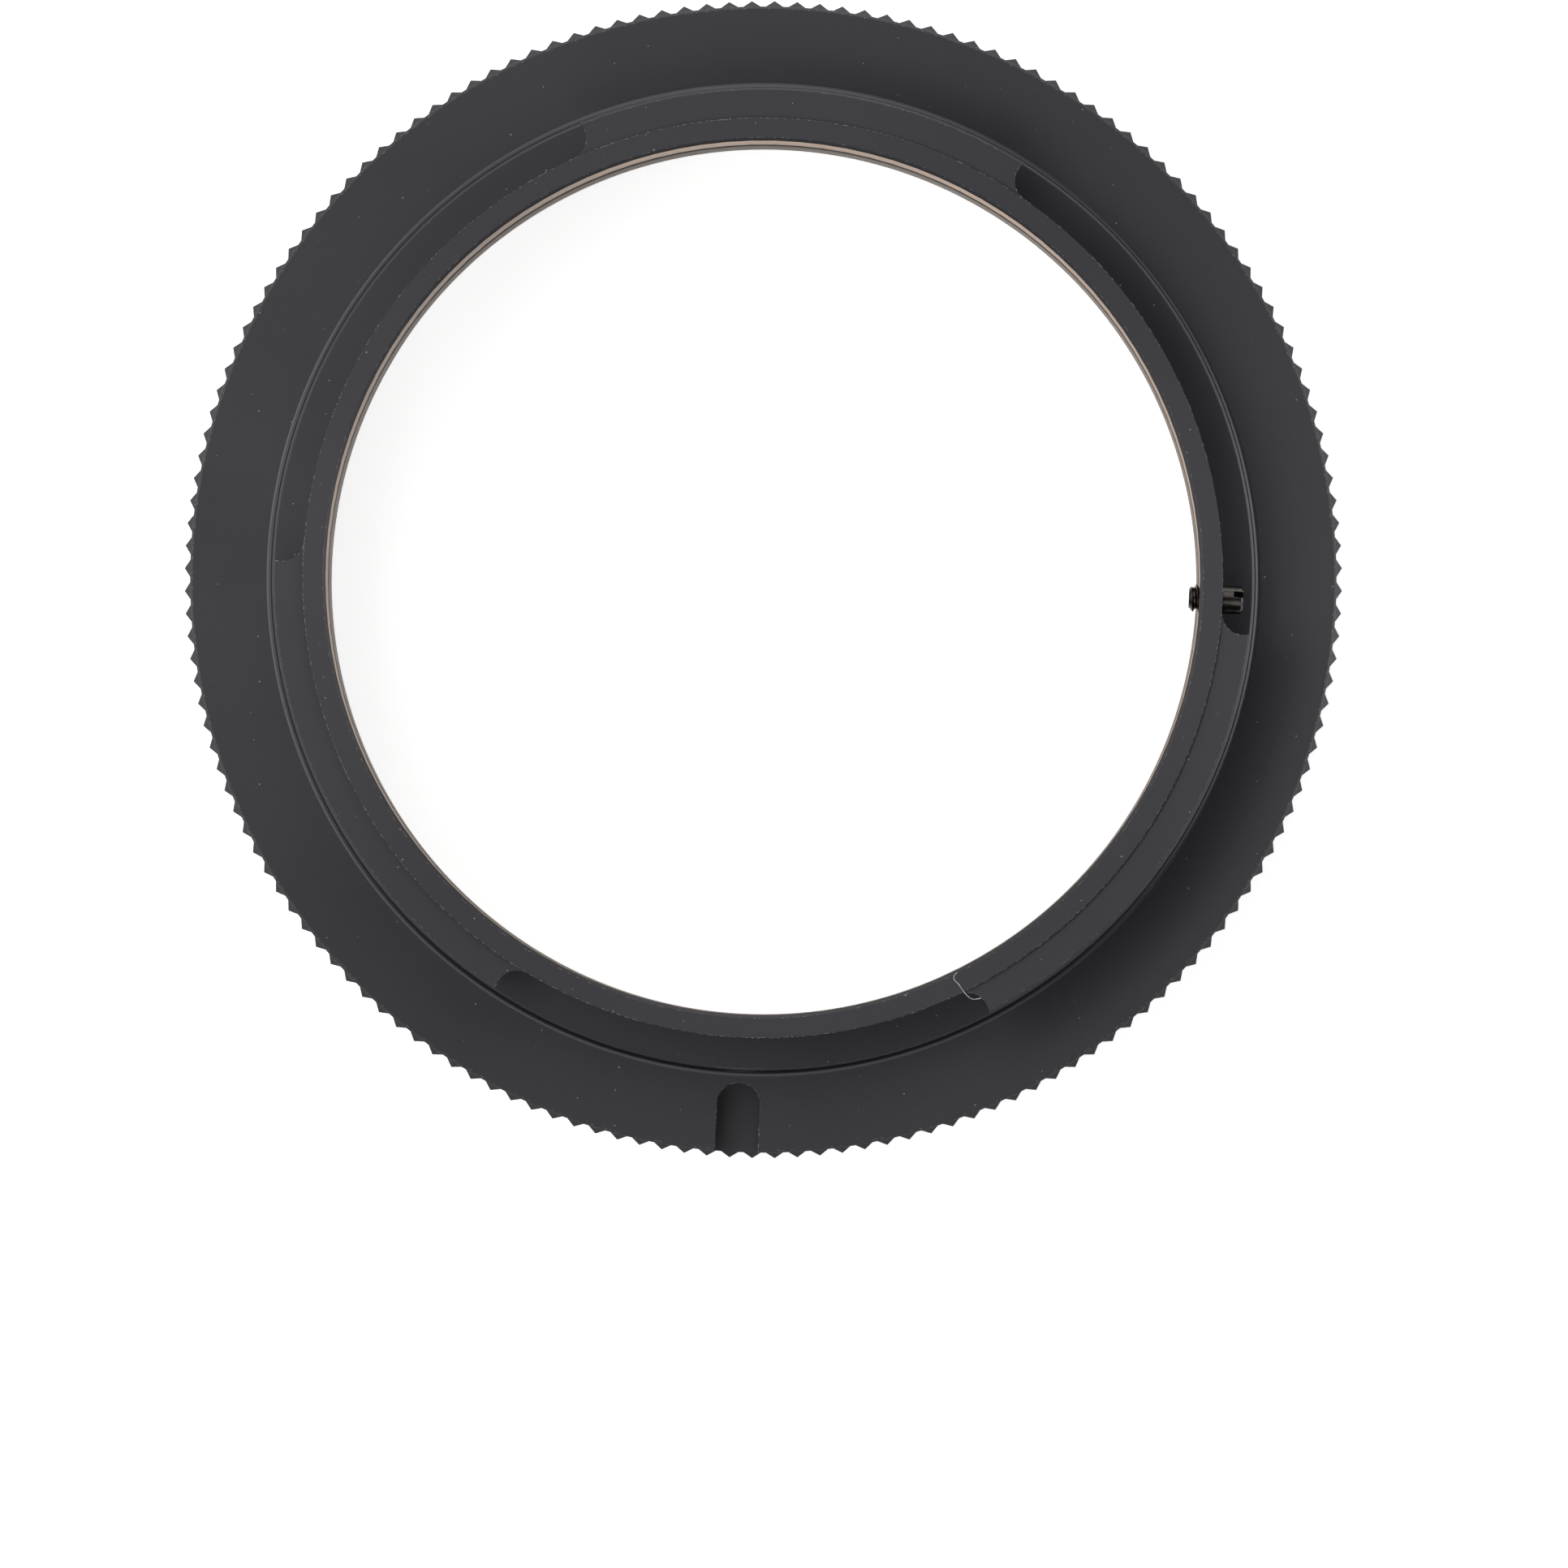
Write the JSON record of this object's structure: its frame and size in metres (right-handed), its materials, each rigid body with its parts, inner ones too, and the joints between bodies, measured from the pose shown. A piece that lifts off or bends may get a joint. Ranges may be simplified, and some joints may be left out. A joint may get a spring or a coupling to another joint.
{
  "type": "t-mount adapter",
  "caption": "Knurled ring that joins a lens or telescope with the 42 mm by 0.75 mm screw thread to a camera with a three-lug bayonet.",
  "frame": {"origin": "on the optical axis, in the plane of the face that the lens seats on", "axes": "+Z along the optical axis towards the camera; +X and +Y are right and up as the camera side is seen, with the lock pin slot near -Y"},
  "size_m": [0.055, 0.055, 0.0135],
  "materials": {
    "black_anodised_aluminium": "satin, bead blasted and black anodised",
    "ring_anodised_aluminium": "turned and black anodised",
    "blackened_steel": "black oxide",
    "bare_steel": "bare, as turned"
  },
  "bodies": {
    "adapter": {"bayonet_body": "black_anodised_aluminium", "stop_screw": "bare_steel"},
    "thread_ring": {"t_thread_ring": "ring_anodised_aluminium"},
    "clamp_screw_1": {"set_screw_1": "blackened_steel"},
    "clamp_screw_2": {"set_screw_2": "blackened_steel"},
    "clamp_screw_3": {"set_screw_3": "blackened_steel"}
  },
  "joints": [
    {"name": "thread_ring_turn", "type": "hinge", "parent": "adapter", "child": "thread_ring", "pos_m": [0, 0, 0.00325], "axis": [0, 0, 1], "continuous": true},
    {"name": "set_screw_1_travel", "type": "slide", "parent": "adapter", "child": "clamp_screw_1", "axis": [0.0471, 0.9989, 0], "range_m": [0, 0.0008]},
    {"name": "set_screw_2_travel", "type": "slide", "parent": "adapter", "child": "clamp_screw_2", "axis": [-0.8886, -0.4587, 0], "range_m": [0, 0.0008]},
    {"name": "set_screw_3_travel", "type": "slide", "parent": "adapter", "child": "clamp_screw_3", "axis": [0.8415, -0.5402, 0], "range_m": [0, 0.0008]}
  ]
}
